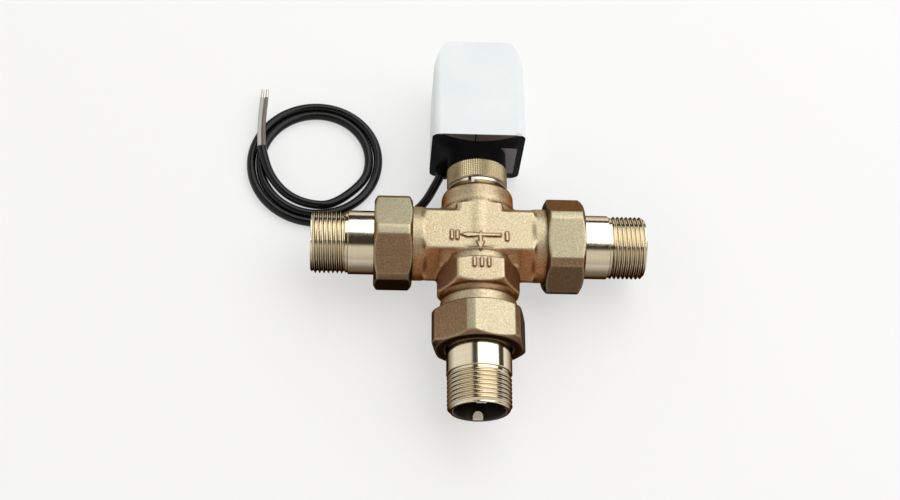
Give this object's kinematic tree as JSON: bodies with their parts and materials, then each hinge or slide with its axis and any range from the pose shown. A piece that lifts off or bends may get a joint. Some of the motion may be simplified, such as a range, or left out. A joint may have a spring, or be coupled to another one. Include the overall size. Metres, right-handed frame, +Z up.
{
  "type": "three-way diverter valve",
  "caption": "Brass diverter valve with union nuts and threaded tails, a thermal actuator held by a knurled ring nut, and a coiled cable with stripped ends.",
  "frame": {"origin": "middle of the base of the bounding box of the valve, on the table it lies on", "axes": "+X along the right port, +Y along the stem towards the actuator, +Z up from the table"},
  "size_m": [0.2164, 0.2072, 0.0505],
  "materials": {
    "forged_brass": "matt blasted forging",
    "nut_brass": "matt brass",
    "turned_brass": "bright turned brass",
    "gasket_fibre": "fibre",
    "seal_rubber": "rubber",
    "stem_steel": "drawn steel",
    "cap_plastic": "light moulded plastic",
    "base_plastic": "black moulded plastic",
    "heater_ceramic": "ceramic",
    "cable_sheath": "glossy sheath",
    "grey_insulation": "core insulation",
    "brown_insulation": "core insulation",
    "tinned_wire": "tinned strands"
  },
  "bodies": {
    "valve": {"valve_body": "forged_brass", "seat_ring": "turned_brass", "bonnet": "turned_brass", "bonnet_seal": "seal_rubber", "stem_seals": "seal_rubber", "gland_nut": "turned_brass", "left_gasket": "gasket_fibre", "right_gasket": "gasket_fibre", "lower_gasket": "gasket_fibre", "return_spring": "stem_steel"},
    "stem": {"stem": "stem_steel", "plug_seal_upper": "seal_rubber", "plug_core": "turned_brass", "plug_seal_lower": "seal_rubber", "plug_nut": "turned_brass", "spring_cap": "stem_steel", "stem_clip": "stem_steel"},
    "left_tail": {"left_tail": "turned_brass"},
    "left_nut": {"left_union_nut": "nut_brass"},
    "right_tail": {"right_tail": "turned_brass"},
    "right_nut": {"right_union_nut": "nut_brass"},
    "lower_tail": {"lower_tail": "turned_brass"},
    "lower_nut": {"lower_union_nut": "nut_brass"},
    "actuator": {"actuator_base": "base_plastic", "cap": "cap_plastic", "carrier_frame": "stem_steel", "wax_cartridge": "turned_brass", "heater": "heater_ceramic", "heater_contacts": "stem_steel", "snap_ring": "stem_steel", "strain_relief": "base_plastic", "cable_clamp": "base_plastic", "inner_cable": "cable_sheath", "plunger_spring": "stem_steel", "cable_lead": "cable_sheath", "cable_coil": "cable_sheath", "cable_end": "cable_sheath", "grey_core": "grey_insulation", "grey_core_tip": "tinned_wire", "brown_core": "brown_insulation", "brown_core_tip": "tinned_wire"},
    "ring_nut": {"ring_nut": "turned_brass"},
    "plunger": {"plunger": "base_plastic", "piston": "stem_steel"}
  },
  "joints": [
    {"name": "left_tail_slide", "type": "slide", "parent": "valve", "child": "left_tail", "axis": [-1, 0, 0], "range_m": [0, 0.00924]},
    {"name": "left_nut_turn", "type": "hinge", "parent": "left_tail", "child": "left_nut", "pos_m": [-0.0444, -0.0104, 0.02526], "axis": [-1, 0, 0], "range_deg": [0, 1440.1]},
    {"name": "right_tail_slide", "type": "slide", "parent": "valve", "child": "right_tail", "axis": [1, 0, 0], "range_m": [0, 0.00924]},
    {"name": "right_nut_turn", "type": "hinge", "parent": "right_tail", "child": "right_nut", "pos_m": [0.0444, -0.0104, 0.02526], "axis": [1, 0, 0], "range_deg": [0, 1440.1]},
    {"name": "lower_tail_slide", "type": "slide", "parent": "valve", "child": "lower_tail", "axis": [0, -1, 0], "range_m": [0, 0.00924]},
    {"name": "lower_nut_turn", "type": "hinge", "parent": "lower_tail", "child": "lower_nut", "pos_m": [0, -0.06, 0.02526], "axis": [0, -1, 0], "range_deg": [0, 1440.1]},
    {"name": "actuator_slide", "type": "slide", "parent": "valve", "child": "actuator", "axis": [0, 1, 0], "range_m": [0, 0.006]},
    {"name": "ring_nut_turn", "type": "hinge", "parent": "actuator", "child": "ring_nut", "pos_m": [0, 0.0276, 0.02526], "axis": [0, 1, 0], "range_deg": [0, 1440.1]},
    {"name": "stem_stroke", "type": "slide", "parent": "valve", "child": "stem", "axis": [0, -1, 0], "range_m": [0, 0.004], "stiffness_N_per_m": 3000, "springref_m": -0.006, "deforming": ["return_spring"]},
    {"name": "plunger_stroke", "type": "slide", "parent": "actuator", "child": "plunger", "axis": [0, -1, 0], "range_m": [0, 0.004], "deforming": ["plunger_spring"]}
  ],
  "couplings": [
    {"joint": "left_nut_turn", "follows": "left_tail_slide", "rad_per_m": 2721.2},
    {"joint": "right_nut_turn", "follows": "right_tail_slide", "rad_per_m": 2721.2},
    {"joint": "lower_nut_turn", "follows": "lower_tail_slide", "rad_per_m": 2721.2},
    {"joint": "ring_nut_turn", "follows": "actuator_slide", "rad_per_m": 4188.8},
    {"joint": "plunger_stroke", "follows": "stem_stroke", "ratio": 1}
  ]
}
